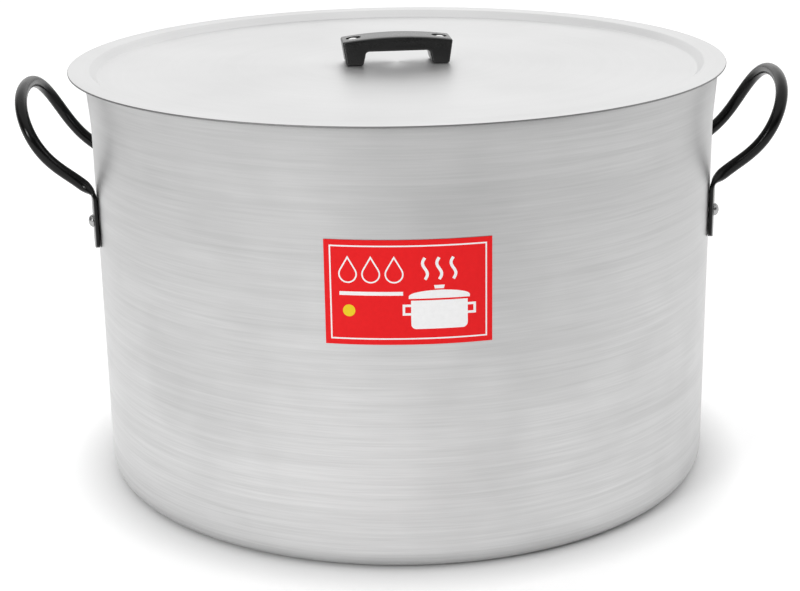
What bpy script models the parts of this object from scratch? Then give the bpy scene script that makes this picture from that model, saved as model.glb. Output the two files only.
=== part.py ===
"""Large aluminium brew kettle: a lidded pot with two riveted side handles and a lift-off lid.

Units are metres and +Z is up. The pot stands on Z = 0 with its axis on the Z axis, the side
handles lie along X and the label faces -Y.
"""

import math

import bmesh
import bpy
from mathutils import Matrix, Vector

# Driving dimensions of the pot
POT_HEIGHT = 0.319
POT_RADIUS = 0.2395
WALL = 0.0025
FLOOR = 0.004
BASE_CORNER = 0.014
RIM_FLARE = 0.0024
FLARE_HEIGHT = 0.048

# Driving dimensions of the lid
LID_OVERHANG = 0.0094
LID_SHEET = 0.0016
LID_PLAY = 0.0044
LID_SINK = 0.0055
LID_SLOPE = math.radians(45.0)
LID_FILLET = 0.0022
PANEL_RISE = 0.0010
PANEL_FLAT = 0.060
LID_TURN = math.radians(5.0)
LID_SHIFT = -0.0033

# Driving dimensions of the lid handle
GRIP_LENGTH = 0.085
GRIP_FOOT_LENGTH = 0.0795
GRIP_DEPTH = 0.028
GRIP_HEIGHT = 0.0216
GRIP_END_HEIGHT = 0.0184
GRIP_BAR = 0.0111
GRIP_LEG = 0.0175
GRIP_FOOT = 0.0130
GRIP_CORNER = 0.003
GRIP_EDGE = 0.0012
GRIP_HOLES = 0.0665
RECESS_DEPTH = 0.0037
RECESS_CLEARANCE = 0.0007

# Driving dimensions of the side handles
SPACING = 0.118
REACH = 0.0562
RISE = 0.0732
BEND_HEIGHT = 0.2306
TAIL_LENGTH = 0.0414
TAIL_WIDTH = 0.0185
TAIL_THICKNESS = 0.0037
ROD = 0.0092
ARM_PULL = (0.0266, -0.0077, 0.0237)
CORNER_PULL = (0.0370, 0.0050, 0.0174)
GRIP_PULL = 0.083
BEND_SOFTNESS = 0.004
FLATTENED = 0.011

# Driving dimensions of the fasteners
SIDE_SHANK = 0.0056
SIDE_DOME = (0.0096, 0.0034)
SIDE_HEAD = (0.0140, 0.0020)
LID_SHANK = 0.0048
LID_DOME = (0.0104, 0.0033)
LID_PEEN = (0.0086, 0.0022)
WASHER_DIAMETER = 0.0140
WASHER_SHEET = 0.0012
HOLE_CLEARANCE = 0.0003

# Driving dimensions of the label
LABEL_WIDTH = 0.113
LABEL_HEIGHT = 0.073
LABEL_CENTRE = 0.2055
LABEL_SHEET = 0.0002

# Gap between pieces that touch, and the fineness of round shapes
GAP = 0.0003
ROUND_STEPS = 72
SMALL_STEPS = 12
ROD_SIDES = 12
SHARP_ANGLE = math.radians(35.0)

# Sizes that follow from the driving dimensions
RIM_RADIUS = POT_RADIUS + RIM_FLARE
RIM_BORE = RIM_RADIUS - WALL
POT_BORE = POT_RADIUS - WALL
FACET = math.cos(math.pi / ROUND_STEPS)
LID_RADIUS = RIM_RADIUS + LID_OVERHANG
LID_BASE = POT_HEIGHT + GAP
LID_TOP = LID_BASE + LID_SHEET
FLANGE_BORE = RIM_BORE - LID_PLAY
PANEL_RADIUS = FLANGE_BORE - LID_SINK / math.tan(LID_SLOPE)
PANEL_TOP = LID_TOP - LID_SINK + PANEL_RISE
PANEL_UNDERSIDE = PANEL_TOP - LID_SHEET
GRIP_BASE = PANEL_TOP + GAP
TAIL_RADIUS = POT_RADIUS + GAP + TAIL_THICKNESS / 2
TAIL_ANGLE = math.asin(SPACING / 2 / TAIL_RADIUS)
RIVET_HEIGHT = BEND_HEIGHT - TAIL_LENGTH / 2


def clear_scene():
    """Remove every object, so that the script always starts from nothing."""
    for item in list(bpy.data.objects):
        bpy.data.objects.remove(item, do_unlink=True)


def make_material(name, colour, roughness, metallic):
    """Principled material with one colour, roughness and metallic value."""
    material = bpy.data.materials.new(name)
    material.use_nodes = True
    shader = material.node_tree.nodes["Principled BSDF"]
    shader.inputs["Base Color"].default_value = (*colour, 1.0)
    shader.inputs["Roughness"].default_value = roughness
    shader.inputs["Metallic"].default_value = metallic
    return material


def add_object(name, mesh, material, parent=None):
    """Link a mesh as a named object with its own material."""
    item = bpy.data.objects.new(name, mesh)
    bpy.context.scene.collection.objects.link(item)
    if not mesh.materials:
        mesh.materials.append(material)
    item.parent = parent
    return item


def add_frame(name, location, turn=0.0):
    """Empty that carries the pieces of one body, turned about its vertical axis."""
    frame = bpy.data.objects.new(name, None)
    bpy.context.scene.collection.objects.link(frame)
    frame.location = location
    frame.rotation_euler = (0, 0, turn)
    return frame


def finish_mesh(name, bm):
    """Close a bmesh into a smooth shaded mesh with crisp corners."""
    bmesh.ops.recalc_face_normals(bm, faces=bm.faces)
    mesh = bpy.data.meshes.new(name)
    bm.to_mesh(mesh)
    bm.free()
    mesh.shade_smooth()
    mesh.set_sharp_from_angle(angle=SHARP_ANGLE)
    return mesh


def arc(centre, radius, start, end, steps):
    """Points along an arc in the profile plane; angles are in degrees."""
    points = []
    for i in range(steps + 1):
        angle = math.radians(start + (end - start) * i / steps)
        points.append((centre[0] + radius * math.cos(angle), centre[1] + radius * math.sin(angle)))
    return points


def turned(name, profile, steps):
    """Solid of revolution about Z from a profile of (radius, height) points."""
    bm = bmesh.new()
    verts = [bm.verts.new((radius, 0.0, height)) for radius, height in profile]
    edges = [bm.edges.new(pair) for pair in zip(verts, verts[1:])]
    if profile[0][0] > 0.0:
        edges.append(bm.edges.new((verts[-1], verts[0])))
    bmesh.ops.spin(
        bm, geom=verts + edges, axis=(0, 0, 1), cent=(0, 0, 0), steps=steps, angle=math.tau, use_merge=True
    )
    bmesh.ops.remove_doubles(bm, verts=bm.verts, dist=0.00001)
    return finish_mesh(name, bm)


def cut(target, cutter):
    """Exact Boolean difference, with the cutter kept out of the model."""
    cutter.hide_render = True
    cutter.display_type = "WIRE"
    boolean = target.modifiers.new(cutter.name, "BOOLEAN")
    boolean.operation = "DIFFERENCE"
    boolean.solver = "EXACT"
    boolean.object = cutter


def pot_profile():
    """Inner floor, inner wall, rounded rim, outer wall and base corner, axis to axis."""
    inner_corner = BASE_CORNER - WALL
    flare_foot = POT_HEIGHT - FLARE_HEIGHT
    flare_steps = 3
    points = [(0.0, FLOOR)]
    points += arc((POT_BORE - inner_corner, FLOOR + inner_corner), inner_corner, -90, 0, 4)
    flare = []
    for i in range(flare_steps + 1):
        share = i / flare_steps
        flare.append((RIM_FLARE * (1 - math.cos(math.pi * share)) / 2, flare_foot + FLARE_HEIGHT * share))
    points += [(POT_BORE + grow, height - WALL / 2 * (height == POT_HEIGHT)) for grow, height in flare]
    points += arc((RIM_BORE + WALL / 2, POT_HEIGHT - WALL / 2), WALL / 2, 180, 0, 4)[1:-1]
    points += [
        (POT_RADIUS + grow, height - WALL / 2 * (height == POT_HEIGHT)) for grow, height in reversed(flare)
    ]
    points += arc((POT_RADIUS - BASE_CORNER, BASE_CORNER), BASE_CORNER, 0, -90, 5)
    points.append((0.0, 0.0))
    return points


def offset_sheet(points, thickness):
    """Underside of a sheet whose upper surface runs outward along the given points."""
    below = []
    for i, point in enumerate(points):
        before = Vector(points[max(i - 1, 0)])
        after = Vector(points[min(i + 1, len(points) - 1)])
        here = Vector(point)
        normals = []
        for step in (here - before, after - here):
            if step.length > 0:
                normals.append(Vector((step.y, -step.x)).normalized())
        mean = sum(normals, Vector((0.0, 0.0))).normalized()
        below.append(tuple(here + mean * (thickness / mean.dot(normals[0]))))
    return below


def lid_profile():
    """Flat centre, slightly domed panel, slope up and flange, then back along the underside."""
    panel_edge = LID_TOP - LID_SINK
    fillet_reach = LID_FILLET * math.tan(LID_SLOPE / 2)
    slope = math.degrees(LID_SLOPE)
    dome_steps = 3
    upper = []
    for i in range(dome_steps + 1):
        share = i / dome_steps
        radius = PANEL_FLAT + (PANEL_RADIUS - fillet_reach - PANEL_FLAT) * share
        upper.append((radius, panel_edge + PANEL_RISE * (1 + math.cos(math.pi * share)) / 2))
    upper += arc(
        (PANEL_RADIUS - fillet_reach, panel_edge + LID_FILLET), LID_FILLET, -90, slope - 90, 2
    )[1:]
    upper += arc((FLANGE_BORE + fillet_reach, LID_TOP - LID_FILLET), LID_FILLET, slope + 90, 90, 2)
    edge_radius = LID_SHEET / 2
    upper.append((LID_RADIUS - edge_radius, LID_TOP))
    lower = offset_sheet(upper, LID_SHEET)
    edge = arc((LID_RADIUS - edge_radius, LID_TOP - edge_radius), edge_radius, 90, -90, 4)[1:-1]
    return [(0.0, PANEL_TOP)] + upper + edge + list(reversed(lower)) + [(0.0, PANEL_UNDERSIDE)]


def dome(radius, height, base, steps):
    """Profile of a shallow dome, from its top on the axis down to its rim."""
    points = []
    for i in range(steps + 1):
        angle = math.pi / 2 * i / steps
        points.append((radius * math.sin(angle), base + height * math.cos(angle)))
    return points


def rivet_mesh(name, shank, grip, upper, lower, lower_round):
    """Rivet along Z: domed head above grip/2, shank, and the other head below -grip/2."""
    top = grip / 2
    points = dome(upper[0] / 2, upper[1], top, 5)
    points += [(shank / 2, top), (shank / 2, -top)]
    tail = [(radius, -height) for radius, height in dome(lower[0] / 2, lower[1], top, 4)]
    if lower_round:
        points += list(reversed(tail))
    else:
        edge = lower[1] / 3
        points += [(lower[0] / 2, -top), (lower[0] / 2, -top - lower[1] + edge)]
        points += [(lower[0] / 2 - edge, -top - lower[1]), (0.0, -top - lower[1])]
    return turned(name, points, SMALL_STEPS)


def hole_cutter(name, diameter, length, frame, parent):
    """Cylinder that cuts a hole along the local Z axis of a placement."""
    mesh = turned(
        name,
        [(0.0, length / 2), (diameter / 2, length / 2), (diameter / 2, -length / 2), (0.0, -length / 2)],
        SMALL_STEPS,
    )
    cutter = add_object(name, mesh, STEEL_CUT, parent)
    cutter.matrix_basis = frame
    return cutter


def build_pot():
    """Spun one-piece body of the pot."""
    material = make_material("spun_aluminium_body", (0.78, 0.78, 0.79), 0.32, 1.0)
    return add_object("pot_body", turned("pot_body", pot_profile(), ROUND_STEPS), material, POT_FRAME)


def build_lid():
    """Spun lid with a sunk panel that drops inside the rim."""
    material = make_material("spun_aluminium_lid", (0.82, 0.82, 0.82), 0.30, 1.0)
    mesh = turned("lid", lid_profile(), ROUND_STEPS)
    mesh.transform(Matrix.Translation((0, 0, -LID_BASE)))
    return add_object("lid", mesh, material, LID_FRAME)


def tail_direction(side):
    """Unit vector from the pot axis through a tail; side is +1 at +Y and -1 at -Y."""
    return Vector((math.cos(TAIL_ANGLE), side * math.sin(TAIL_ANGLE), 0.0))


def loop_point(share):
    """Point on the loop's centre line, a Bezier curve from the bend (0) to the middle of the grip (1)."""
    start = tail_direction(1) * TAIL_RADIUS + Vector((0, 0, BEND_HEIGHT))
    middle = Vector((start.x + REACH, 0.0, start.z + RISE))
    controls = [
        start,
        start + Vector(ARM_PULL),
        start + Vector(CORNER_PULL),
        middle + Vector((0.0, GRIP_PULL, 0.0)),
        middle,
    ]
    degree = len(controls) - 1
    point = Vector()
    for i, control in enumerate(controls):
        point += control * math.comb(degree, i) * share**i * (1 - share) ** (degree - i)
    return point


def resample(points, spacing):
    """Points at even distances along a polyline, keeping both its ends."""
    lengths = [0.0]
    for first, second in zip(points, points[1:]):
        lengths.append(lengths[-1] + (second - first).length)
    count = max(2, round(lengths[-1] / spacing))
    even = []
    index = 0
    for i in range(count + 1):
        goal = lengths[-1] * i / count
        while index < len(points) - 2 and lengths[index + 1] < goal:
            index += 1
        share = (goal - lengths[index]) / (lengths[index + 1] - lengths[index])
        even.append(points[index].lerp(points[index + 1], share))
    return even


def soften(points, reach):
    """Round the bends of an evenly spaced polyline over a distance."""
    window = max(1, round(reach / (points[1] - points[0]).length))
    last = len(points) - 1
    soft = []
    for i in range(len(points)):
        half = min(window, i, last - i)
        group = points[i - half : i + half + 1]
        soft.append(sum(group, Vector()) / len(group))
    return soft


def handle_route():
    """Half of the handle's centre line: up the tail, out along the arm, to the mid plane."""
    fine = 0.001
    coarse = 0.0045
    foot = tail_direction(1) * TAIL_RADIUS + Vector((0, 0, BEND_HEIGHT - TAIL_LENGTH))
    loop = [loop_point(i / 100) for i in range(101)]
    return resample(soften(resample([foot] + loop, fine), BEND_SOFTNESS), coarse)


def strap_section(distance):
    """Half width, half thickness and squareness at a distance from the tail's end."""
    flat = 1.0
    if distance > TAIL_LENGTH:
        flat = max(0.0, 1.0 - (distance - TAIL_LENGTH) / FLATTENED) ** 2
    width = ROD + (TAIL_WIDTH - ROD) * flat
    thickness = ROD + (TAIL_THICKNESS - ROD) * flat
    tip = min(1.0, distance / (TAIL_WIDTH / 2))
    width *= 0.35 + 0.65 * math.sqrt(1 - (1 - tip) ** 2)
    return width / 2, thickness / 2, 2.0 + 2.0 * flat


def section_ring(centre, across, outward, half_width, half_thickness, squareness):
    """Closed ring of points round the centre line, a superellipse in its own plane."""
    ring = []
    for i in range(ROD_SIDES):
        angle = math.tau * i / ROD_SIDES
        cosine = math.cos(angle)
        sine = math.sin(angle)
        wide = math.copysign(abs(cosine) ** (2 / squareness), cosine) * half_width
        thick = math.copysign(abs(sine) ** (2 / squareness), sine) * half_thickness
        ring.append(centre + across * wide + outward * thick)
    return ring


def side_handle_mesh():
    """Half of a side handle, from the end of its tail to the mid plane."""
    route = handle_route()
    across = Vector((-math.sin(TAIL_ANGLE), math.cos(TAIL_ANGLE), 0.0))
    bm = bmesh.new()
    previous = None
    distance = 0.0
    for i, centre in enumerate(route):
        ahead = route[min(i + 1, len(route) - 1)]
        behind = route[max(i - 1, 0)]
        along = (ahead - behind).normalized()
        if i == len(route) - 1:
            along = Vector((0, -1, 0))
        distance += (centre - behind).length
        across = (across - along * across.dot(along)).normalized()
        outward = across.cross(along)
        ring = [bm.verts.new(p) for p in section_ring(centre, across, outward, *strap_section(distance))]
        if previous is None:
            bm.faces.new(ring)
        else:
            for j in range(ROD_SIDES):
                k = (j + 1) % ROD_SIDES
                bm.faces.new((previous[j], previous[k], ring[k], ring[j]))
        previous = ring
    return finish_mesh("side_handle", bm)


def build_side_handles(pot):
    """Two bent rod handles, each held by two rivets through its flattened tails."""
    material = make_material("black_coated_steel", (0.012, 0.012, 0.013), 0.28, 0.0)
    rivet_material = make_material("rivet_aluminium", (0.80, 0.80, 0.80), 0.25, 1.0)
    mesh = side_handle_mesh()
    strap_outside = POT_RADIUS + GAP + TAIL_THICKNESS + GAP
    head_seat = math.sqrt((POT_BORE * FACET) ** 2 - (SIDE_HEAD[0] / 2) ** 2) - GAP
    grip = strap_outside - head_seat
    rivet = rivet_mesh("side_rivet", SIDE_SHANK, grip, SIDE_DOME, SIDE_HEAD, False)
    for side_name, turn in (("left", math.pi), ("right", 0.0)):
        handle = add_object(f"side_handle_{side_name}", mesh, material, POT_FRAME)
        handle.rotation_euler = (0, 0, turn)
        mirror = handle.modifiers.new("other_half", "MIRROR")
        mirror.use_axis = (False, True, False)
        mirror.use_clip = True
        mirror.merge_threshold = 0.0001
        for end_name, world_side in (("front", -1), ("rear", 1)):
            local_side = world_side if turn == 0.0 else -world_side
            outward = Matrix.Rotation(turn, 3, "Z") @ tail_direction(local_side)
            place = outward.to_track_quat("Z", "Y").to_matrix().to_4x4()
            place.translation = outward * (strap_outside + head_seat) / 2 + Vector((0, 0, RIVET_HEIGHT))
            label = f"side_rivet_{side_name}_{end_name}"
            piece = add_object(label, rivet, rivet_material, POT_FRAME)
            piece.matrix_basis = place
            hole = SIDE_SHANK + 2 * HOLE_CLEARANCE
            cutter = hole_cutter(f"{label}_hole", hole, 4 * grip, place, POT_FRAME)
            cut(pot, cutter)
            cut(handle, cutter)


def grip_top(position):
    """Height of the arched top of the lid handle above its feet."""
    return GRIP_HEIGHT - (GRIP_HEIGHT - GRIP_END_HEIGHT) * (2 * position / GRIP_LENGTH) ** 2


def grip_outline():
    """Half outline of the lid handle at +X, from the middle of its top round to its underside."""
    arch_steps = 6
    points = []
    for i in range(arch_steps + 1):
        position = GRIP_LENGTH / 2 * i / arch_steps
        points.append((position, grip_top(position)))
    underside = GRIP_HEIGHT - GRIP_BAR
    inner_foot = GRIP_FOOT_LENGTH / 2 - GRIP_FOOT
    inner_top = GRIP_LENGTH / 2 - GRIP_LEG
    points += [(GRIP_FOOT_LENGTH / 2, 0.0), (inner_foot, 0.0)]
    points += arc((inner_top - GRIP_CORNER, underside - GRIP_CORNER), GRIP_CORNER, 0, 90, 4)
    return points


def build_lid_handle(lid):
    """Moulded bridge handle, two rivets sunk in its top, and their washers under the lid."""
    half = grip_outline()
    outline = half + [(-x, z) for x, z in reversed(half) if x > 0.0]
    bm = bmesh.new()
    front = [bm.verts.new((x, -GRIP_DEPTH / 2, z)) for x, z in outline]
    face = bm.faces.new(front)
    grown = bmesh.ops.extrude_face_region(bm, geom=[face])
    moved = [item for item in grown["geom"] if isinstance(item, bmesh.types.BMVert)]
    bmesh.ops.translate(bm, verts=moved, vec=(0, GRIP_DEPTH, 0))
    mesh = finish_mesh("lid_handle", bm)
    material = make_material("black_phenolic", (0.015, 0.015, 0.016), 0.38, 0.0)
    handle = add_object("lid_handle", mesh, material, LID_FRAME)
    handle.location = (0, 0, GRIP_BASE - LID_BASE)
    bevel = handle.modifiers.new("softened_edges", "BEVEL")
    bevel.width = GRIP_EDGE
    bevel.segments = 2
    bevel.limit_method = "ANGLE"
    bevel.angle_limit = SHARP_ANGLE

    rivet_material = make_material("lid_rivet_steel", (0.86, 0.86, 0.86), 0.18, 1.0)
    washer_material = make_material("washer_steel", (0.72, 0.72, 0.72), 0.35, 1.0)
    hole = LID_SHANK + 2 * HOLE_CLEARANCE
    recess_floor = GRIP_BASE + grip_top(GRIP_HOLES / 2) - RECESS_DEPTH
    washer_top = PANEL_UNDERSIDE - GAP
    head_seat = recess_floor + GAP
    tail_seat = washer_top - WASHER_SHEET - GAP
    grip = head_seat - tail_seat
    rivet = rivet_mesh("lid_rivet", LID_SHANK, grip, LID_DOME, LID_PEEN, True)
    washer = turned(
        "lid_washer",
        [
            (hole / 2, 0.0),
            (WASHER_DIAMETER / 2, 0.0),
            (WASHER_DIAMETER / 2, -WASHER_SHEET),
            (hole / 2, -WASHER_SHEET),
        ],
        SMALL_STEPS,
    )
    recess_height = 2 * RECESS_DEPTH
    recess = LID_DOME[0] + 2 * RECESS_CLEARANCE
    for side_name, side in (("left", -1), ("right", 1)):
        across = side * GRIP_HOLES / 2
        piece = add_object(f"lid_rivet_{side_name}", rivet, rivet_material, LID_FRAME)
        piece.location = (across, 0, (head_seat + tail_seat) / 2 - LID_BASE)
        ring = add_object(f"lid_washer_{side_name}", washer, washer_material, LID_FRAME)
        ring.location = (across, 0, washer_top - LID_BASE)
        bore = Matrix.Translation((across, 0, GRIP_BASE - LID_BASE))
        drill = hole_cutter(f"lid_bore_{side_name}", hole, 4 * GRIP_HEIGHT, bore, LID_FRAME)
        seat = Matrix.Translation((across, 0, recess_floor + recess_height / 2 - LID_BASE))
        counterbore = hole_cutter(f"lid_recess_{side_name}", recess, recess_height, seat, LID_FRAME)
        cut(lid, drill)
        cut(handle, drill)
        cut(handle, counterbore)


def build_label():
    """Plain paper label, curved to lie on the front of the pot."""
    inner = POT_RADIUS + GAP
    columns = 16
    span = LABEL_WIDTH / inner
    bm = bmesh.new()
    for radius in (inner, inner + LABEL_SHEET):
        rows = []
        for height in (-LABEL_HEIGHT / 2, LABEL_HEIGHT / 2):
            row = []
            for i in range(columns + 1):
                angle = span * (i / columns - 0.5)
                row.append(bm.verts.new((radius * math.sin(angle), -radius * math.cos(angle), height)))
            rows.append(row)
        for i in range(columns):
            bm.faces.new((rows[0][i], rows[0][i + 1], rows[1][i + 1], rows[1][i]))
    bmesh.ops.bridge_loops(bm, edges=[edge for edge in bm.edges if edge.is_boundary])
    material = make_material("red_label", (0.75, 0.02, 0.02), 0.45, 0.0)
    label = add_object("front_label", finish_mesh("front_label", bm), material, POT_FRAME)
    label.location = (0, 0, LABEL_CENTRE)


clear_scene()
POT_FRAME = add_frame("pot_frame", (0, 0, 0))
LID_FRAME = add_frame("lid_frame", (LID_SHIFT, 0, LID_BASE), LID_TURN)
STEEL_CUT = make_material("cutter", (0.5, 0.5, 0.5), 0.5, 0.0)
pot_body = build_pot()
lid_plate = build_lid()
build_side_handles(pot_body)
build_lid_handle(lid_plate)
build_label()
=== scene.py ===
"""Looks of the large aluminium brew kettle: fine surfaces, materials, light and camera.

Units are metres and +Z is up. The kettle stands on Z = 0 with its axis on the Z axis, the side
handles lie along X and the label faces -Y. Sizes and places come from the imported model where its
boxes give them; the others repeat the values of the part's own design.
"""
import math

import bmesh
import bpy
from mathutils import Matrix, Vector


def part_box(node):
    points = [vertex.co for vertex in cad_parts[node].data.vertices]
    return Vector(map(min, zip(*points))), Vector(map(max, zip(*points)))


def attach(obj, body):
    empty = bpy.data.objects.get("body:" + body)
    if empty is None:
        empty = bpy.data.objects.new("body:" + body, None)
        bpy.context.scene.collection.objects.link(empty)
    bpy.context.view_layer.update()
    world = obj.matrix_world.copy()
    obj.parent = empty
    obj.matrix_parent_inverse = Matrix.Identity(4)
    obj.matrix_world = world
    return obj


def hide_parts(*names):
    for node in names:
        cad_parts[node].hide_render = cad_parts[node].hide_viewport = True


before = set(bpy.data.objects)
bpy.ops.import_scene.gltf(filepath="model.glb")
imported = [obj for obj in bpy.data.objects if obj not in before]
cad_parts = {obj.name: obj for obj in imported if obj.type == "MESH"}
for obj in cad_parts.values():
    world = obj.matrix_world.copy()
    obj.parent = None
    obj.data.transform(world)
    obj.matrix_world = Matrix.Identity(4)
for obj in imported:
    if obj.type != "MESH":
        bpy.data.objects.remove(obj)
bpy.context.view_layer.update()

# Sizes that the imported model's boxes give
POT_LOW, POT_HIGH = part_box("pot_body")
LID_LOW, LID_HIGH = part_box("lid")
LABEL_LOW, LABEL_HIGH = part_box("front_label")
GRIP_LOW, GRIP_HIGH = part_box("lid_handle")
POT_HEIGHT = POT_HIGH[2]
RIM_RADIUS = POT_HIGH[0]
LID_RADIUS = (LID_HIGH[0] - LID_LOW[0]) / 2
LID_CENTRE = Vector(((LID_HIGH[0] + LID_LOW[0]) / 2, 0.0, 0.0))
LID_TOP = LID_HIGH[2]
GRIP_BASE = GRIP_LOW[2]
GRIP_HEIGHT = GRIP_HIGH[2] - GRIP_LOW[2]

# Sizes of the part's design that a box can't give
GAP = 0.0003
WALL = 0.0025
FLOOR = 0.004
BASE_CORNER = 0.014
FLARE_HEIGHT = 0.048
LABEL_SHEET = 0.0002
POT_RADIUS = -LABEL_LOW[1] - LABEL_SHEET - GAP
RIM_FLARE = RIM_RADIUS - POT_RADIUS
LID_SHEET = 0.0016
LID_PLAY = 0.0044
LID_SINK = 0.0055
LID_SLOPE = math.radians(45.0)
LID_FILLET = 0.0022
PANEL_RISE = 0.0010
PANEL_FLAT = 0.060
LID_TURN = math.radians(5.0)
GRIP_LENGTH = 0.085
GRIP_FOOT_LENGTH = 0.0795
GRIP_DEPTH = 0.028
GRIP_END_HEIGHT = 0.0184
GRIP_BAR = 0.0111
GRIP_LEG = 0.0175
GRIP_FOOT = 0.0130
GRIP_CORNER = 0.003
GRIP_BEVEL = 0.0017
GRIP_HOLES = 0.0665
RECESS_DEPTH = 0.0037
SPACING = 0.118
REACH = 0.0562
RISE = 0.0732
BEND_HEIGHT = 0.2306
TAIL_LENGTH = 0.0414
TAIL_WIDTH = 0.0185
TAIL_THICKNESS = 0.0037
ROD = 0.0092
ARM_PULL = (0.0266, -0.0077, 0.0237)
CORNER_PULL = (0.0370, 0.0050, 0.0174)
GRIP_PULL = 0.083
BEND_SOFTNESS = 0.004
FLATTENED = 0.011
SIDE_SHANK = 0.0056
SIDE_DOME = (0.0096, 0.0034)
SIDE_HEAD = (0.0140, 0.0020)
LID_SHANK = 0.0048
LID_DOME = (0.0104, 0.0033)
LID_PEEN = (0.0086, 0.0022)
WASHER_DIAMETER = 0.0140
WASHER_SHEET = 0.0012
WASHER_EDGE = 0.0002
HOLE_CLEARANCE = 0.0003
RECESS_CLEARANCE = 0.0007
LABEL_WIDTH = 0.113
LABEL_HEIGHT = LABEL_HIGH[2] - LABEL_LOW[2]
LABEL_CENTRE = (LABEL_HIGH[2] + LABEL_LOW[2]) / 2

# Sizes that follow
RIM_BORE = RIM_RADIUS - WALL
POT_BORE = POT_RADIUS - WALL
FLANGE_BORE = RIM_BORE - LID_PLAY
PANEL_RADIUS = FLANGE_BORE - LID_SINK / math.tan(LID_SLOPE)
PANEL_TOP = LID_TOP - LID_SINK + PANEL_RISE
PANEL_UNDERSIDE = PANEL_TOP - LID_SHEET
TAIL_RADIUS = POT_RADIUS + GAP + TAIL_THICKNESS / 2
TAIL_ANGLE = math.asin(SPACING / 2 / TAIL_RADIUS)
RIVET_HEIGHT = BEND_HEIGHT - TAIL_LENGTH / 2
STRAP_OUTSIDE = POT_RADIUS + GAP + TAIL_THICKNESS + GAP
HEAD_SEAT = math.sqrt(POT_BORE**2 - (SIDE_HEAD[0] / 2) ** 2) - GAP
SIDE_GRIP = STRAP_OUTSIDE - HEAD_SEAT
SIDE_HOLE = SIDE_SHANK + 2 * HOLE_CLEARANCE
LID_HOLE = LID_SHANK + 2 * HOLE_CLEARANCE
LABEL_RADIUS = POT_RADIUS + GAP

# Printing on the label: heights of the ink above the wall side, and the border's place and width
INK_BASE = LABEL_SHEET + 0.00002
INK_TOP = LABEL_SHEET + 0.00007
LINE_INSET = 0.0042
LINE_WIDTH = 0.0010

# Fineness of the shown surfaces
TURNED_STEPS = 288
SMALL_TURNED_STEPS = 48
SHARP_ANGLE = math.radians(32.0)

# Light of the sky from above, behind, before, left and right
SKY_LEVELS = (1.0, 1.2, 0.10, 0.26, 0.95)
# How soon the light behind the kettle fades towards the sides
BACK_NARROWING = 0.5
# Share of the light behind the kettle that is left at the horizon
HORIZON_SHARE = 0.5
# Place, goal, side length and power of the softbox before the kettle
SOFTBOX = ((-1.5, -2.0, 1.1), (0.0, 0.0, 0.15), 0.6, 18.0)

# Camera
CAMERA_LENS = 79.07
CAMERA_PLACE = (-0.0158, -1.3508, 0.5627)
CAMERA_YAW = math.radians(0.517)
CAMERA_PITCH = math.radians(-17.904)
CAMERA_ROLL = math.radians(-0.922)


# ---------------------------------------------------------------- mesh helpers


def arc(centre, radius, start, end, steps):
    """Points along an arc in a profile's plane; angles are in degrees."""
    points = []
    for i in range(steps + 1):
        angle = math.radians(start + (end - start) * i / steps)
        points.append((centre[0] + radius * math.cos(angle), centre[1] + radius * math.sin(angle)))
    return points


def finish_mesh(name, bm):
    """Turn a bmesh into a smooth shaded mesh with crisp corners."""
    bmesh.ops.recalc_face_normals(bm, faces=bm.faces)
    mesh = bpy.data.meshes.new(name)
    bm.to_mesh(mesh)
    bm.free()
    mesh.shade_smooth()
    mesh.set_sharp_from_angle(angle=SHARP_ANGLE)
    return mesh


def add_object(name, mesh):
    """Link a mesh as a named object."""
    item = bpy.data.objects.new(name, mesh)
    bpy.context.scene.collection.objects.link(item)
    return item


def turned(name, profile, steps):
    """Solid of revolution about Z from (radius, height) points."""
    bm = bmesh.new()
    verts = [bm.verts.new((radius, 0.0, height)) for radius, height in profile]
    edges = [bm.edges.new(pair) for pair in zip(verts, verts[1:])]
    if profile[0][0] > 0.0:
        edges.append(bm.edges.new((verts[-1], verts[0])))
    bmesh.ops.spin(
        bm, geom=verts + edges, axis=(0, 0, 1), cent=(0, 0, 0), steps=steps, angle=math.tau, use_merge=True
    )
    bmesh.ops.remove_doubles(bm, verts=bm.verts, dist=0.000002)
    return finish_mesh(name, bm)


def apply_modifiers(item):
    """Replace an object's mesh by its evaluated mesh, with no modifier left."""
    evaluated = item.evaluated_get(bpy.context.evaluated_depsgraph_get())
    mesh = bpy.data.meshes.new_from_object(evaluated)
    item.modifiers.clear()
    item.data = mesh
    mesh.shade_smooth()
    mesh.set_sharp_from_angle(angle=SHARP_ANGLE)


def drill(item, bores):
    """Cut cylindrical holes; a bore is (placement, diameter, length)."""
    cutters = []
    for number, (place, diameter, length) in enumerate(bores):
        bm = bmesh.new()
        bmesh.ops.create_cone(
            bm,
            cap_ends=True,
            segments=SMALL_TURNED_STEPS,
            radius1=diameter / 2,
            radius2=diameter / 2,
            depth=length,
            matrix=place,
        )
        cutter = add_object(f"bore_{number}", finish_mesh("bore", bm))
        cutters.append(cutter)
        boolean = item.modifiers.new(cutter.name, "BOOLEAN")
        boolean.operation = "DIFFERENCE"
        boolean.solver = "EXACT"
        boolean.object = cutter
    apply_modifiers(item)
    for cutter in cutters:
        bpy.data.objects.remove(cutter, do_unlink=True)


def settle(item, body, nodes, materials):
    """Give a finished piece its materials and its place in the frame."""
    item.data.materials.clear()
    for material in materials:
        item.data.materials.append(material)
    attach(item, body)
    if nodes:
        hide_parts(*nodes)


# ---------------------------------------------------------------- material helpers


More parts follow.
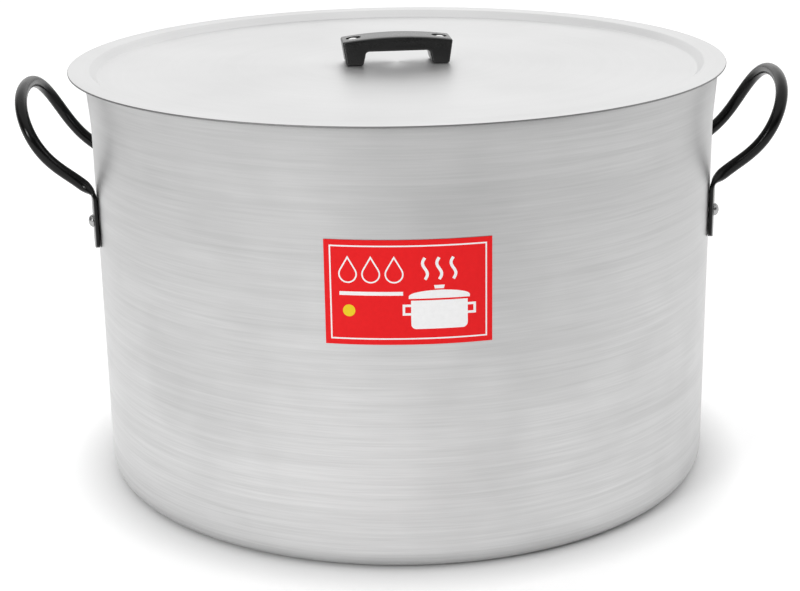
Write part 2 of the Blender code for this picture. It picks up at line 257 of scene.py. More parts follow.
class Shader:
    """A Principled material and short ways to add nodes to it."""

    def __init__(self, name, colour, roughness, metallic):
        self.material = bpy.data.materials.new(name)
        self.material.use_nodes = True
        self.tree = self.material.node_tree
        self.surface = self.tree.nodes["Principled BSDF"]
        self.surface.inputs["Base Color"].default_value = (*colour, 1.0)
        self.surface.inputs["Roughness"].default_value = roughness
        self.surface.inputs["Metallic"].default_value = metallic

    def node(self, kind, inputs=None, **settings):
        """Add a node; inputs maps socket names or numbers to values or to other sockets."""
        node = self.tree.nodes.new(kind)
        for name, value in settings.items():
            setattr(node, name, value)
        for key, value in (inputs or {}).items():
            self.feed(node.inputs[key], value)
        return node

    def feed(self, socket, value):
        """Link a socket, or set its value."""
        if isinstance(value, bpy.types.NodeSocket):
            self.tree.links.new(value, socket)
        else:
            socket.default_value = value

    def math(self, operation, first, second=0.0):
        """Result of a Math node."""
        return self.node("ShaderNodeMath", {0: first, 1: second}, operation=operation).outputs[0]

    def noise(self, vector, scale, detail, roughness):
        """Grey value of a noise texture."""
        values = {
            "Vector": vector,
            "Scale": scale,
            "Detail": detail,
            "Roughness": roughness,
        }
        return self.node("ShaderNodeTexNoise", values).outputs["Fac"]

    def place(self):
        """Position on the piece in metres."""
        return self.node("ShaderNodeTexCoord").outputs["Object"]

    def span(self, value, low, high, new_low, new_high):
        """Value mapped from one range to another, clamped."""
        inputs = {0: value, 1: low, 2: high, 3: new_low, 4: new_high}
        return self.node("ShaderNodeMapRange", inputs).outputs[0]

    def mix(self, share, first, second):
        """Colour between two colours."""
        node = self.node("ShaderNodeMix", {"Factor": share}, data_type="RGBA")
        self.feed(node.inputs[6], first)
        self.feed(node.inputs[7], second)
        return node.outputs[2]

    def bump(self, height, distance, strength=1.0, normal=None):
        """Normal bent by a height."""
        inputs = {"Height": height, "Distance": distance, "Strength": strength}
        if normal is not None:
            inputs["Normal"] = normal
        return self.node("ShaderNodeBump", inputs).outputs["Normal"]

    def stretched(self, scales):
        """Position scaled along each axis."""
        inputs = {0: self.place(), 1: scales}
        return self.node("ShaderNodeVectorMath", inputs, operation="MULTIPLY").outputs[0]

    def set(self, **sockets):
        """Link or set the Principled shader's own sockets."""
        for name, value in sockets.items():
            self.feed(self.surface.inputs[name.replace("_", " ")], value)


def grey(level):
    """Neutral colour of one level."""
    return (level, level, level, 1.0)


def spun_metal(name, low_level, high_level, heights, roughness, marks, relief):
    """Spun aluminium: fine broken rings round the axis, soft tool waves, clouds and faint scratches.

    The metal's level goes from low_level to high_level between two heights; where they differ this is
    painted shade, which on the body darkens the wall towards the rim. marks is the depth of the dark
    lines and clouds, and relief is the share of the full bump.
    """
    shader = Shader(name, (low_level, low_level, low_level), roughness, 1.0)
    x, y, z = shader.node("ShaderNodeSeparateXYZ", {0: shader.place()}).outputs
    squares = shader.math("ADD", shader.math("MULTIPLY", x, x), shader.math("MULTIPLY", y, y))
    along = shader.math("ADD", shader.math("SQRT", squares), z)

    def rings(around, across):
        inputs = {
            0: shader.math("MULTIPLY", x, around),
            1: shader.math("MULTIPLY", y, around),
            2: shader.math("MULTIPLY", along, across),
        }
        return shader.node("ShaderNodeCombineXYZ", inputs).outputs[0]

    fine = shader.noise(rings(11.0, 560.0), 1.0, 3.0, 0.7)
    streaks = shader.noise(rings(5.0, 170.0), 1.0, 4.0, 0.65)
    waves = shader.noise(rings(2.5, 45.0), 1.0, 2.0, 0.5)
    clouds = shader.noise(shader.place(), 6.0, 3.0, 0.6)
    # Painted shade: the base tone runs from low_level to high_level between the two heights
    level = shader.span(z, heights[0], heights[1], 0.0, 1.0)
    colour = shader.mix(level, grey(low_level), grey(high_level))
    tint = shader.math(
        "ADD", shader.span(fine, 0.35, 0.65, -0.6, 0.6), shader.span(streaks, 0.35, 0.65, -0.4, 0.4)
    )
    dark = shader.span(tint, -1.0, 1.0, marks, 0.0)
    colour = shader.mix(dark, colour, grey(0.2))
    colour = shader.mix(shader.span(clouds, 0.45, 0.75, 0.0, marks), colour, grey(0.3))
    rough = shader.math(
        "ADD",
        shader.span(fine, 0.3, 0.7, roughness - 0.04, roughness + 0.04),
        shader.span(clouds, 0.3, 0.7, -0.03, 0.04),
    )
    normal = shader.bump(fine, 0.00003, 0.6 * relief)
    normal = shader.bump(streaks, 0.00006, 0.4 * relief, normal)
    normal = shader.bump(waves, 0.00008, 0.3 * relief, normal)
    tangent = shader.node("ShaderNodeTangent", direction_type="RADIAL", axis="Z").outputs[0]
    shader.set(Base_Color=colour, Roughness=rough, Normal=normal, Tangent=tangent, Anisotropic=0.5)
    return shader.material


def black_coating(name):
    """Gloss black stoved coating on steel rod, with slight orange peel and dusty patches."""
    shader = Shader(name, (0.004, 0.004, 0.004), 0.20, 0.0)
    peel = shader.noise(shader.place(), 900.0, 2.0, 0.5)
    patches = shader.noise(shader.place(), 60.0, 3.0, 0.6)
    colour = shader.mix(shader.span(patches, 0.4, 0.75, 0.0, 1.0), grey(0.002), grey(0.005))
    rough = shader.span(patches, 0.3, 0.7, 0.16, 0.28)
    normal = shader.bump(peel, 0.00005, 0.6)
    normal = shader.bump(patches, 0.0004, 0.35, normal)
    shader.set(Base_Color=colour, Roughness=rough, Normal=normal, Specular_IOR_Level=0.25)
    return shader.material


def black_moulding(name):
    """Black thermoset moulding with a fine grain, a low sheen and painted sheen on upward faces."""
    shader = Shader(name, (0.005, 0.005, 0.005), 0.30, 0.0)
    grain = shader.noise(shader.place(), 1600.0, 2.0, 0.6)
    flow = shader.noise(shader.stretched((40.0, 160.0, 160.0)), 1.0, 3.0, 0.6)
    colour = shader.mix(shader.span(flow, 0.35, 0.75, 0.0, 1.0), grey(0.003), grey(0.007))
    # Painted sheen: upward faces are mixed towards grey, standing in for the sky's reflection on the top
    upward = shader.node("ShaderNodeSeparateXYZ", {0: shader.node("ShaderNodeNewGeometry").outputs["Normal"]})
    painted_top_sheen = shader.math("MULTIPLY", shader.span(upward.outputs[2], 0.6, 0.95, 0.0, 1.0), flow)
    colour = shader.mix(painted_top_sheen, colour, grey(0.20))
    rough = shader.math(
        "ADD", shader.span(flow, 0.3, 0.7, 0.24, 0.34), shader.span(grain, 0.3, 0.7, -0.03, 0.04)
    )
    normal = shader.bump(grain, 0.00003, 0.7)
    shader.set(Base_Color=colour, Roughness=rough, Normal=normal, Specular_IOR_Level=0.75)
    return shader.material


def set_metal(name, level, roughness):
    """Rivet or washer metal, with small hammer dents and scratches."""
    shader = Shader(name, (level, level, level), roughness, 1.0)
    dents = shader.noise(shader.place(), 420.0, 2.0, 0.5)
    scratches = shader.noise(shader.stretched((900.0, 5000.0, 2600.0)), 1.0, 2.0, 0.6)
    colour = shader.mix(shader.span(dents, 0.35, 0.7, 0.0, 1.0), grey(level * 0.85), grey(level * 1.05))
    rough = shader.math(
        "ADD",
        shader.span(scratches, 0.3, 0.7, roughness - 0.05, roughness + 0.08),
        shader.span(dents, 0.3, 0.7, -0.03, 0.03),
    )
    normal = shader.bump(dents, 0.00012, 0.6)
    shader.set(Base_Color=colour, Roughness=rough, Normal=normal)
    return shader.material


def label_paper(name, colour, dark):
    """Printed label paper with slight ink mottling and a fine tooth."""
    shader = Shader(name, colour, 0.42, 0.0)
    mottle = shader.noise(shader.place(), 350.0, 3.0, 0.6)
    tooth = shader.noise(shader.place(), 3000.0, 2.0, 0.5)
    tint = shader.mix(shader.span(mottle, 0.3, 0.7, 0.0, 1.0), (*colour, 1.0), (*dark, 1.0))
    rough = shader.span(mottle, 0.3, 0.7, 0.36, 0.48)
    normal = shader.bump(tooth, 0.00002, 0.5)
    shader.set(Base_Color=tint, Roughness=rough, Normal=normal, Specular_IOR_Level=0.15)
    return shader.material


# ---------------------------------------------------------------- pot body


def flare_grow(share):
    """Growth of the wall's radius over the flare, from its foot (0) to the rim (1)."""
    return RIM_FLARE * (1 - math.cos(math.pi * share)) / 2


def pot_profile():
    """Inner floor, inner wall, rounded rim, outer wall and base corner, axis to axis."""
    inner_corner = BASE_CORNER - WALL
    flare_foot = POT_HEIGHT - FLARE_HEIGHT
    flare_steps = 12
    rim_start = POT_HEIGHT - WALL / 2
    shares = [i / flare_steps for i in range(flare_steps + 1)]
    heights = [flare_foot + (rim_start - flare_foot) * share for share in shares]
    points = [(0.0, FLOOR)]
    points += [(POT_BORE * share, FLOOR) for share in (0.15, 0.4, 0.7, 0.85)]
    points += arc((POT_BORE - inner_corner, FLOOR + inner_corner), inner_corner, -90, 0, 10)
    points += [(POT_BORE, height) for height in (0.06, 0.12, 0.18, 0.24)]
    points += [(POT_BORE + flare_grow(share), height) for share, height in zip(shares, heights)]
    points += arc((RIM_BORE + WALL / 2, rim_start), WALL / 2, 180, 0, 10)[1:-1]
    for share, height in zip(reversed(shares), reversed(heights)):
        points.append((POT_RADIUS + flare_grow(share), height))
    points += [(POT_RADIUS, height) for height in (0.24, 0.18, 0.12, 0.06)]
    points += arc((POT_RADIUS - BASE_CORNER, BASE_CORNER), BASE_CORNER, 0, -90, 14)
    points += [(POT_RADIUS * share, 0.0) for share in (0.85, 0.7, 0.4, 0.15)]
    points.append((0.0, 0.0))
    return points


def tail_direction(side):
    """Unit vector from the pot axis through a tail; side is +1 at +Y and -1 at -Y."""
    return Vector((math.cos(TAIL_ANGLE), side * math.sin(TAIL_ANGLE), 0.0))


def side_rivet_places(side_turn):
    """Placements of a handle's rivets, +Z outward: front rivet, then rear rivet."""
    places = []
    for world_side in (-1, 1):
        local_side = world_side if side_turn == 0.0 else -world_side
        outward = Matrix.Rotation(side_turn, 3, "Z") @ tail_direction(local_side)
        place = outward.to_track_quat("Z", "Y").to_matrix().to_4x4()
        place.translation = outward * (STRAP_OUTSIDE + HEAD_SEAT) / 2 + Vector((0, 0, RIVET_HEIGHT))
        places.append(place)
    return places


def side_bores(side_turns):
    """Holes for the side rivets of the given handles."""
    return [(place, SIDE_HOLE, 4 * SIDE_GRIP) for turn in side_turns for place in side_rivet_places(turn)]


def build_pot():
    """Fine surface of the pot."""
    pot = add_object("pot_shell", turned("pot_shell", pot_profile(), TURNED_STEPS))
    drill(pot, side_bores((0.0, math.pi)))
    # Painted shade on the wall: its tone is lighter near the foot and darker towards the rim
    metal = spun_metal(
        "spun_body",
        low_level=0.70,
        high_level=0.54,
        heights=(0.06, 0.26),
        roughness=0.34,
        marks=0.26,
        relief=1.0,
    )
    settle(pot, "pot", ["pot_body"], [metal])


# ---------------------------------------------------------------- side handles


def loop_point(share):
    """Point on the loop's centre line, a Bezier curve from the bend (0) to the middle of the grip (1)."""
    start = tail_direction(1) * TAIL_RADIUS + Vector((0, 0, BEND_HEIGHT))
    middle = Vector((start.x + REACH, 0.0, start.z + RISE))
    controls = [
        start,
        start + Vector(ARM_PULL),
        start + Vector(CORNER_PULL),
        middle + Vector((0.0, GRIP_PULL, 0.0)),
        middle,
    ]
    degree = len(controls) - 1
    point = Vector()
    for i, control in enumerate(controls):
        point += control * math.comb(degree, i) * share**i * (1 - share) ** (degree - i)
    return point


def resample(points, spacing):
    """Points at even distances along a polyline, keeping both its ends."""
    lengths = [0.0]
    for first, second in zip(points, points[1:]):
        lengths.append(lengths[-1] + (second - first).length)
    count = max(2, round(lengths[-1] / spacing))
    even = []
    index = 0
    for i in range(count + 1):
        goal = lengths[-1] * i / count
        while index < len(points) - 2 and lengths[index + 1] < goal:
            index += 1
        share = (goal - lengths[index]) / (lengths[index + 1] - lengths[index])
        even.append(points[index].lerp(points[index + 1], share))
    return even


def soften(points, reach):
    """Round the bends of an evenly spaced polyline over a distance."""
    window = max(1, round(reach / (points[1] - points[0]).length))
    last = len(points) - 1
    soft = []
    for i in range(len(points)):
        half = min(window, i, last - i)
        group = points[i - half : i + half + 1]
        soft.append(sum(group, Vector()) / len(group))
    return soft


def handle_route():
    """Half of the handle's centre line: up the tail, out along the arm, to the mid plane."""
    foot = tail_direction(1) * TAIL_RADIUS + Vector((0, 0, BEND_HEIGHT - TAIL_LENGTH))
    loop = [loop_point(i / 200) for i in range(201)]
    return resample(soften(resample([foot] + loop, 0.0005), BEND_SOFTNESS), 0.0016)


def strap_section(distance):
    """Half width, half thickness and squareness at a distance from the tail's end."""
    flat = 1.0
    if distance > TAIL_LENGTH:
        flat = max(0.0, 1.0 - (distance - TAIL_LENGTH) / FLATTENED) ** 2
    width = ROD + (TAIL_WIDTH - ROD) * flat
    thickness = ROD + (TAIL_THICKNESS - ROD) * flat
    tip = min(1.0, distance / (TAIL_WIDTH / 2))
    width *= 0.35 + 0.65 * math.sqrt(1 - (1 - tip) ** 2)
    return width / 2, thickness / 2, 2.0 + 2.0 * flat


def section_ring(centre, across, outward, half_width, half_thickness, squareness):
    """Closed ring of points round the centre line, a superellipse in its own plane."""
    sides = 32
    ring = []
    for i in range(sides):
        angle = math.tau * i / sides
        cosine = math.cos(angle)
        sine = math.sin(angle)
        wide = math.copysign(abs(cosine) ** (2 / squareness), cosine) * half_width
        thick = math.copysign(abs(sine) ** (2 / squareness), sine) * half_thickness
        ring.append(centre + across * wide + outward * thick)
    return ring


def handle_mesh():
    """A whole side handle at +X, swept along both halves of its centre line."""
    route = handle_route()
    across = Vector((-math.sin(TAIL_ANGLE), math.cos(TAIL_ANGLE), 0.0))
    bm = bmesh.new()
    rings = []
    distance = 0.0
    for i, centre in enumerate(route):
        ahead = route[min(i + 1, len(route) - 1)]
        behind = route[max(i - 1, 0)]
        along = (ahead - behind).normalized()
        if i == len(route) - 1:
            along = Vector((0, -1, 0))
        distance += (centre - behind).length
        across = (across - along * across.dot(along)).normalized()
        rings.append(section_ring(centre, across, across.cross(along), *strap_section(distance)))
    mirrored = [[Vector((p.x, -p.y, p.z)) for p in ring] for ring in reversed(rings[:-1])]
    previous = None
    for ring in rings + mirrored:
        verts = [bm.verts.new(p) for p in ring]
        if previous is None:
            bm.faces.new(verts)
        else:
            for j in range(len(verts)):
                k = (j + 1) % len(verts)
                bm.faces.new((previous[j], previous[k], verts[k], verts[j]))
        previous = verts
    bm.faces.new(previous)
    return finish_mesh("handle", bm)


def rivet_profile(shank, grip, upper, lower, lower_round):
    """Rivet along Z: domed head above grip/2, shank, and the other head below -grip/2."""
    top = grip / 2
    steps = 12
    points = []
    for i in range(steps + 1):
        angle = math.pi / 2 * i / steps
        points.append((upper[0] / 2 * math.sin(angle), top + upper[1] * math.cos(angle)))
    points += [(shank / 2, top), (shank / 2, -top)]
    if lower_round:
        for i in range(steps, -1, -1):
            angle = math.pi / 2 * i / steps
            points.append((lower[0] / 2 * math.sin(angle), -top - lower[1] * math.cos(angle)))
    else:
        edge = lower[1] / 3
        points.append((lower[0] / 2, -top))
        points += arc((lower[0] / 2 - edge, -top - lower[1] + edge), edge, 0, -90, 5)
        points.append((0.0, -top - lower[1]))
    return points


def build_side_handles():
    """Two side handles with their rivets."""
    coating = black_coating("stoved_black")
    metal = set_metal("rivet_metal", 0.42, 0.22)
    profile = rivet_profile(SIDE_SHANK, SIDE_GRIP, SIDE_DOME, SIDE_HEAD, False)
    for side_name, turn in (("left", math.pi), ("right", 0.0)):
        handle = add_object(f"handle_{side_name}", handle_mesh())
        handle.data.transform(Matrix.Rotation(turn, 4, "Z"))
        drill(handle, side_bores((turn,)))
        settle(handle, "pot", [f"side_handle_{side_name}"], [coating])
        for end_name, place in zip(("front", "rear"), side_rivet_places(turn)):
            label = f"{side_name}_{end_name}"
            rivet = add_object(f"rivet_{label}", turned("rivet", profile, SMALL_TURNED_STEPS))
            rivet.matrix_world = place
            settle(rivet, "pot", [f"side_rivet_{label}"], [metal])


# ---------------------------------------------------------------- lid


def offset_sheet(points, thickness):
    """Underside of a sheet whose upper surface runs outward along the given points."""
    below = []
    for i, point in enumerate(points):
        before = Vector(points[max(i - 1, 0)])
        after = Vector(points[min(i + 1, len(points) - 1)])
        here = Vector(point)
        normals = []
        for step in (here - before, after - here):
            if step.length > 0:
                normals.append(Vector((step.y, -step.x)).normalized())
        mean = sum(normals, Vector((0.0, 0.0))).normalized()
        below.append(tuple(here + mean * (thickness / mean.dot(normals[0]))))
    return below


def lid_profile():
    """Flat centre, slightly domed panel, slope up and flange, then back along the underside."""
    panel_edge = LID_TOP - LID_SINK
    fillet_reach = LID_FILLET * math.tan(LID_SLOPE / 2)
    slope = math.degrees(LID_SLOPE)
    dome_steps = 20
    upper = [(PANEL_FLAT * share, PANEL_TOP) for share in (0.2, 0.6)]
    for i in range(dome_steps + 1):
        share = i / dome_steps
        radius = PANEL_FLAT + (PANEL_RADIUS - fillet_reach - PANEL_FLAT) * share
        upper.append((radius, panel_edge + PANEL_RISE * (1 + math.cos(math.pi * share)) / 2))
    upper += arc((PANEL_RADIUS - fillet_reach, panel_edge + LID_FILLET), LID_FILLET, -90, slope - 90, 8)[1:]
    upper += arc((FLANGE_BORE + fillet_reach, LID_TOP - LID_FILLET), LID_FILLET, slope + 90, 90, 8)
    edge_radius = LID_SHEET / 2
    upper += [(FLANGE_BORE + 0.008, LID_TOP), (LID_RADIUS - edge_radius, LID_TOP)]
    lower = offset_sheet(upper, LID_SHEET)
    edge = arc((LID_RADIUS - edge_radius, LID_TOP - edge_radius), edge_radius, 90, -90, 10)[1:-1]
    return [(0.0, PANEL_TOP)] + upper + edge + list(reversed(lower)) + [(0.0, PANEL_UNDERSIDE)]


def lid_holes():
    """Places of the two lid rivets on the lid."""
    turn = Matrix.Rotation(LID_TURN, 4, "Z")
    return {
        name: LID_CENTRE + turn @ Vector((side * GRIP_HOLES / 2, 0, 0))
        for name, side in (("left", -1), ("right", 1))
    }


def build_lid():
    """Fine surface of the lid."""
    lid = add_object("lid_shell", turned("lid_shell", lid_profile(), TURNED_STEPS))
    lid.data.transform(Matrix.Translation(LID_CENTRE))
    rise = Vector((0, 0, PANEL_TOP))
    drill(lid, [(Matrix.Translation(place + rise), LID_HOLE, 0.02) for place in lid_holes().values()])
    even = (0.0, 1.0)
    metal = spun_metal(
        "spun_lid", low_level=0.77, high_level=0.77, heights=even, roughness=0.46, marks=0.05, relief=0.3
    )
    # Dark tone on the outer edge of the flange: painted shade for the shadow under the lid's rim
    painted_edge_shade = spun_metal(
        "lid_painted_edge_shade", low_level=0.25, high_level=0.25, heights=even, roughness=0.45, marks=0.3, relief=0.3
    )
    settle(lid, "lid", ["lid"], [metal, painted_edge_shade])
    # The outer edge faces take the painted edge shade
    for face in lid.data.polygons:
        if (face.center.xy - LID_CENTRE.xy).length > LID_RADIUS - LID_SHEET / 4:
            face.material_index = 1


def grip_top(position):
    """Height of the arched top of the lid handle above its feet."""
    return GRIP_HEIGHT - (GRIP_HEIGHT - GRIP_END_HEIGHT) * (2 * position / GRIP_LENGTH) ** 2


def grip_outline():
    """Half outline of the lid handle at +X, from the middle of its top round to its underside."""
    arch_steps = 16
    points = []
    for i in range(arch_steps + 1):
        position = GRIP_LENGTH / 2 * i / arch_steps
        points.append((position, grip_top(position)))
    underside = GRIP_HEIGHT - GRIP_BAR
    inner_foot = GRIP_FOOT_LENGTH / 2 - GRIP_FOOT
    inner_top = GRIP_LENGTH / 2 - GRIP_LEG
    points += [(GRIP_FOOT_LENGTH / 2, 0.0), (inner_foot, 0.0)]
    points += arc((inner_top - GRIP_CORNER, underside - GRIP_CORNER), GRIP_CORNER, 0, 90, 8)
    return points


def build_lid_handle():
    """Moulded bridge handle with rivets sunk in its top, and the washers under the lid."""
    half = grip_outline()
    outline = half + [(-x, z) for x, z in reversed(half) if x > 0.0]
    bm = bmesh.new()
    front = [bm.verts.new((x, -GRIP_DEPTH / 2, z)) for x, z in outline]
    grown = bmesh.ops.extrude_face_region(bm, geom=[bm.faces.new(front)])
    moved = [item for item in grown["geom"] if isinstance(item, bmesh.types.BMVert)]
    bmesh.ops.translate(bm, verts=moved, vec=(0, GRIP_DEPTH, 0))
    handle = add_object("bridge_handle", finish_mesh("bridge_handle", bm))
    bevel = handle.modifiers.new("softened_edges", "BEVEL")
    bevel.width = GRIP_BEVEL
    bevel.segments = 4
    bevel.limit_method = "ANGLE"
    bevel.angle_limit = SHARP_ANGLE
    apply_modifiers(handle)
    turn = Matrix.Rotation(LID_TURN, 4, "Z")
    handle.data.transform(Matrix.Translation(LID_CENTRE + Vector((0, 0, GRIP_BASE))) @ turn)

    recess = LID_DOME[0] + 2 * RECESS_CLEARANCE
    recess_floor = GRIP_BASE + grip_top(GRIP_HOLES / 2) - RECESS_DEPTH
    washer_top = PANEL_UNDERSIDE - GAP
    head_seat = recess_floor + GAP
    tail_seat = washer_top - WASHER_SHEET - GAP
    bores = []
    for place in lid_holes().values():
        bores.append((Matrix.Translation(place + Vector((0, 0, GRIP_BASE))), LID_HOLE, 0.08))
        rise = Vector((0, 0, recess_floor + RECESS_DEPTH))
        bores.append((Matrix.Translation(place + rise), recess, 2 * RECESS_DEPTH))
    drill(handle, bores)
    settle(handle, "lid", ["lid_handle"], [black_moulding("black_thermoset")])

    bright = set_metal("lid_rivet_metal", 0.86, 0.16)
    zinc = set_metal("washer_metal", 0.62, 0.38)
    profile = rivet_profile(LID_SHANK, head_seat - tail_seat, LID_DOME, LID_PEEN, True)
    ring = [
        (LID_HOLE / 2, 0.0),
        (WASHER_DIAMETER / 2 - WASHER_EDGE, 0.0),
        (WASHER_DIAMETER / 2, -WASHER_EDGE),
        (WASHER_DIAMETER / 2, -WASHER_SHEET + WASHER_EDGE),
        (WASHER_DIAMETER / 2 - WASHER_EDGE, -WASHER_SHEET),
        (LID_HOLE / 2, -WASHER_SHEET),
    ]
    for side_name, place in lid_holes().items():
        rivet = add_object(f"lid_pin_{side_name}", turned("lid_pin", profile, SMALL_TURNED_STEPS))
        rivet.location = place + Vector((0, 0, (head_seat + tail_seat) / 2))
        settle(rivet, "lid", [f"lid_rivet_{side_name}"], [bright])
        washer = add_object(f"lid_burr_{side_name}", turned("lid_burr", ring, SMALL_TURNED_STEPS))
        washer.location = place + Vector((0, 0, washer_top))
        settle(washer, "lid", [f"lid_washer_{side_name}"], [zinc])


# ---------------------------------------------------------------- label


def wrap(bm, low, high):
    """Thicken flat artwork between two heights above the wall, and bend it round the pot."""
    grown = bmesh.ops.extrude_face_region(bm, geom=list(bm.faces))
    top = {item for item in grown["geom"] if isinstance(item, bmesh.types.BMVert)}
    for vert in bm.verts:
        across, up, _ = vert.co
        angle = across / LABEL_RADIUS
        radius = LABEL_RADIUS + (high if vert in top else low)
        vert.co = Vector((radius * math.sin(angle), -radius * math.cos(angle), LABEL_CENTRE + up))


def slice_upright(bm, width, spacing):
    """Cut flat faces by upright lines, so that they can bend."""
    count = math.ceil(width / spacing)
    for i in range(1, count):
        at = width * (i / count - 0.5)
        geometry = list(bm.verts) + list(bm.edges) + list(bm.faces)
        bmesh.ops.bisect_plane(bm, geom=geometry, plane_co=(at, 0, 0), plane_no=(1, 0, 0))


def stroke(bm, points, width, closed):
    """Flat band of one width along a path."""
    count = len(points)
    pairs = []
    for i, (x, y) in enumerate(points):
        before = points[(i - 1) % count] if closed or i > 0 else points[i]
        after = points[(i + 1) % count] if closed or i < count - 1 else points[i]
        sides = []
        for first, second in ((before, (x, y)), ((x, y), after)):
            run = Vector((second[0] - first[0], second[1] - first[1]))
            if run.length > 0:
                sides.append(Vector((-run.y, run.x)).normalized())
        mean = sum(sides, Vector((0.0, 0.0))).normalized()
        reach = mean * (width / 2 / mean.dot(sides[0]))
        pairs.append([bm.verts.new((x + sign * reach.x, y + sign * reach.y, 0)) for sign in (1, -1)])
    ends = pairs[1:] + pairs[:1] if closed else pairs[1:]
    for (a, b), (c, d) in zip(pairs, ends):
        bm.faces.new((a, b, d, c))


def along_sides(corners, spacing):
    """Points along the sides of a closed polygon, with every corner kept."""
    points = []
    for first, second in zip(corners, corners[1:] + corners[:1]):
        side = resample([Vector((*first, 0)), Vector((*second, 0))], spacing)
        points += [(point.x, point.y) for point in side[:-1]]
    return points


def drop_outline(centre, size):
    """Outline of a drop of liquid with its point up."""
    start = math.radians(150)
    round_part = [
        (
            centre[0] + size * math.cos(start + math.radians(240) * i / 20),
            centre[1] + size * math.sin(start + math.radians(240) * i / 20),
        )
        for i in range(21)
    ]
    return round_part + [(centre[0], centre[1] + 2 * size)]


def fill(bm, outline):
    """Flat face inside an outline."""
    bm.faces.new([bm.verts.new((x, y, 0)) for x, y in outline])


def print_ink(name, bm, material):
    """Finish a piece of printed artwork."""
    slice_upright(bm, LABEL_WIDTH, 0.003)
    wrap(bm, INK_BASE, INK_TOP)
    settle(add_object(name, finish_mesh(name, bm)), "pot", [], [material])


def kettle_body(x, y):
    """Body of a small kettle seen from the side, with its lower middle at (x, y)."""
    half = 0.0190
    corner = 0.0035
    height = 0.0200
    right = arc((x + half - corner, y + corner), corner, -90, 0, 6)
    left = arc((x - half + corner, y + corner), corner, 180, 270, 6)
    return right + [(x + half, y + height), (x - half, y + height)] + left


def kettle_lid(x, y):
    """Shallow domed lid of the small kettle."""
    half = 0.0205
    base = y + 0.0213
    crown = [(x + half * math.cos(t), base + 0.0016 + 0.0042 * math.sin(t)) for t in dome_turns(16)]
    return [(x - half, base), (x + half, base)] + crown


def dome_turns(steps):
    """Angles of a half turn, from right to left."""
    return [math.pi * i / steps for i in range(steps + 1)]


def kettle_knob(x, y):
    """Knob on the lid of the small kettle."""
    base = y + 0.0281
    top = base + 0.0024
    return [(x - 0.0030, base), (x + 0.0030, base), (x + 0.0036, top), (x - 0.0036, top)]


def kettle_ear(x, y, side):
    """Path of a handle at one side of the small kettle."""
    start = x + side * 0.0188
    end = start + side * 0.0050
    return [(start, y + 0.0165), (end, y + 0.0165), (end, y + 0.0105), (start, y + 0.0105)]


def steam_line(x, y):
    """Path of a curl of steam that rises from (x, y)."""
    length = 0.0150
    steps = 16
    points = []
    for i in range(steps + 1):
        share = i / steps
        points.append((x + 0.0016 * math.sin(math.tau * share), y + length * share))
    return points


def corners_of(right, top):
    """Corners of a rectangle about the label's centre."""
    return [(-right, -top), (right, -top), (right, top), (-right, top)]


def build_label():
    """Plain red label wrapped on the wall, with printed line work: a border, drops, a kettle and steam."""
    bm = bmesh.new()
    half_width = LABEL_WIDTH / 2
    half_height = LABEL_HEIGHT / 2
    fill(bm, corners_of(half_width, half_height))
    slice_upright(bm, LABEL_WIDTH, 0.002)
    wrap(bm, 0.0, LABEL_SHEET)
    label = add_object("paper_label", finish_mesh("paper_label", bm))
    red = label_paper("red_paper", (0.86, 0.010, 0.013), (0.82, 0.009, 0.012))
    settle(label, "pot", ["front_label"], [red])

    white = label_paper("white_ink", (0.95, 0.95, 0.95), (0.91, 0.91, 0.91))
    yellow = label_paper("yellow_ink", (0.90, 0.66, 0.02), (0.84, 0.60, 0.02))
    right = half_width - LINE_INSET
    top = half_height - LINE_INSET
    bm = bmesh.new()
    stroke(bm, along_sides(corners_of(right, top), 0.003), LINE_WIDTH, True)
    print_ink("label_border", bm, white)

    bm = bmesh.new()
    for x in (-0.0405, -0.0250, -0.0095):
        stroke(bm, drop_outline((x, 0.0130), 0.0058), 0.0010, True)
    stroke(bm, [(-0.0463, -0.0005), (-0.0037, -0.0005)], 0.0026, False)
    print_ink("label_drops", bm, white)

    bm = bmesh.new()
    kettle = (0.0205, -0.0255)
    fill(bm, kettle_body(*kettle))
    fill(bm, kettle_lid(*kettle))
    fill(bm, kettle_knob(*kettle))
    for side in (-1, 1):
        stroke(bm, kettle_ear(*kettle, side), 0.0017, False)
    print_ink("label_kettle", bm, white)

    bm = bmesh.new()
    for x in (-0.0095, 0.0, 0.0095):
        stroke(bm, steam_line(kettle[0] + x, kettle[1] + 0.0345), 0.0020, False)
    print_ink("label_steam", bm, white)

    bm = bmesh.new()
    fill(bm, arc((-0.0400, -0.0125), 0.0042, 0, 345, 23))
    print_ink("label_dot", bm, yellow)


# ---------------------------------------------------------------- studio


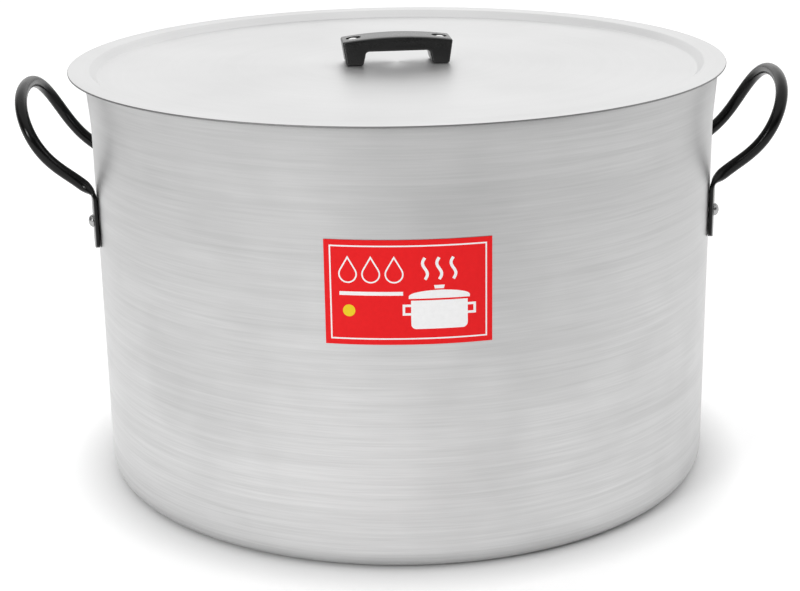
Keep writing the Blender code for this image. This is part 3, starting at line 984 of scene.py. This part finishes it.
def soft_sky():
    """World whose light differs by direction: behind the kettle, above it, beside it and before it."""
    world = bpy.data.worlds.new("studio")
    world.use_nodes = True
    tree = world.node_tree
    background = tree.nodes["Background"]

    def link(kind, inputs, **settings):
        node = tree.nodes.new(kind)
        for name, value in settings.items():
            setattr(node, name, value)
        for key, value in inputs.items():
            if isinstance(value, bpy.types.NodeSocket):
                tree.links.new(value, node.inputs[key])
            else:
                node.inputs[key].default_value = value
        return node

    def ramp(value, low, high):
        node = link("ShaderNodeMapRange", {0: value, 1: low, 2: high}, interpolation_type="SMOOTHSTEP")
        return node.outputs[0]

    def calculate(operation, first, second):
        return link("ShaderNodeMath", {0: first, 1: second}, operation=operation).outputs[0]

    direction = tree.nodes.new("ShaderNodeTexCoord").outputs["Generated"]
    x, y, z = link("ShaderNodeSeparateXYZ", {0: direction}).outputs
    high = ramp(z, 0.45, 0.85)
    low = calculate("SUBTRACT", 1.0, high)
    sideways = calculate("MULTIPLY", calculate("ABSOLUTE", x, 0.0), BACK_NARROWING)
    back = calculate("MULTIPLY", low, ramp(calculate("SUBTRACT", y, sideways), 0.0, 0.7))
    horizon = link("ShaderNodeMapRange", {0: z, 1: 0.02, 2: 0.2, 3: HORIZON_SHARE, 4: 1.0}).outputs[0]
    front = calculate("MULTIPLY", low, ramp(calculate("MULTIPLY", y, -1.0), 0.0, 0.7))
    beside = calculate("SUBTRACT", calculate("SUBTRACT", low, back), front)
    right = calculate("MULTIPLY", beside, ramp(x, -0.1, 0.1))
    left = calculate("SUBTRACT", beside, right)
    total = 0.0
    for share, level in zip((high, calculate("MULTIPLY", back, horizon), front, left, right), SKY_LEVELS):
        total = calculate("ADD", total, calculate("MULTIPLY", share, level))
    tree.links.new(total, background.inputs["Strength"])
    background.inputs["Color"].default_value = (1.0, 1.0, 1.0, 1.0)
    bpy.context.scene.world = world


def soft_light(place, goal, size, power):
    """Square softbox that faces a goal."""
    data = bpy.data.lights.new("softbox", "AREA")
    data.shape = "SQUARE"
    data.size = size
    data.energy = power
    light = bpy.data.objects.new("softbox", data)
    light.location = place
    light.rotation_euler = (Vector(goal) - Vector(place)).to_track_quat("-Z", "Y").to_euler()
    bpy.context.scene.collection.objects.link(light)


def floor_paint():
    """White sweep that glows as painted light, dimmer to the front, with a painted shadow round the kettle.
    """
    shader = Shader("floor_paint", (0.88, 0.88, 0.88), 0.7, 0.0)
    x, y, _ = shader.node("ShaderNodeSeparateXYZ", {0: shader.place()}).outputs
    squares = shader.math("ADD", shader.math("MULTIPLY", x, x), shader.math("MULTIPLY", y, y))
    # Painted contact shadow: the glow fades to nothing at the kettle's foot
    outside_painted_shadow = shader.span(shader.math("SQRT", squares), POT_RADIUS - 0.01, POT_RADIUS + 0.035, 0.0, 1.0)
    # Painted light: the floor glows, dimmer towards the front
    painted_floor_glow = shader.math("MULTIPLY", outside_painted_shadow, shader.span(y, -1.1, -0.4, 0.24, 0.36))
    shader.set(Emission_Color=(1.0, 1.0, 1.0, 1.0), Emission_Strength=painted_floor_glow)
    return shader.material


def build_stage():
    """Pale floor, soft light and the camera."""
    bm = bmesh.new()
    bmesh.ops.create_grid(bm, x_segments=8, y_segments=8, size=14.0)
    floor = add_object("studio_floor", finish_mesh("studio_floor", bm))
    floor.data.materials.append(floor_paint())
    soft_sky()
    soft_light(*SOFTBOX)

    data = bpy.data.cameras.new("camera")
    data.lens = CAMERA_LENS
    data.sensor_width = 36.0
    camera = bpy.data.objects.new("camera", data)
    camera.location = CAMERA_PLACE
    camera.rotation_mode = "XYZ"
    forward = math.cos(CAMERA_PITCH)
    aim = Vector((math.sin(CAMERA_YAW) * forward, math.cos(CAMERA_YAW) * forward, math.sin(CAMERA_PITCH)))
    level = aim.to_track_quat("-Z", "Y").to_matrix()
    camera.rotation_euler = (level @ Matrix.Rotation(CAMERA_ROLL, 3, "Z")).to_euler()
    bpy.context.scene.collection.objects.link(camera)
    bpy.context.scene.camera = camera
    bpy.context.scene.view_settings.view_transform = "Standard"


build_pot()
build_side_handles()
build_lid()
build_lid_handle()
build_label()
build_stage()
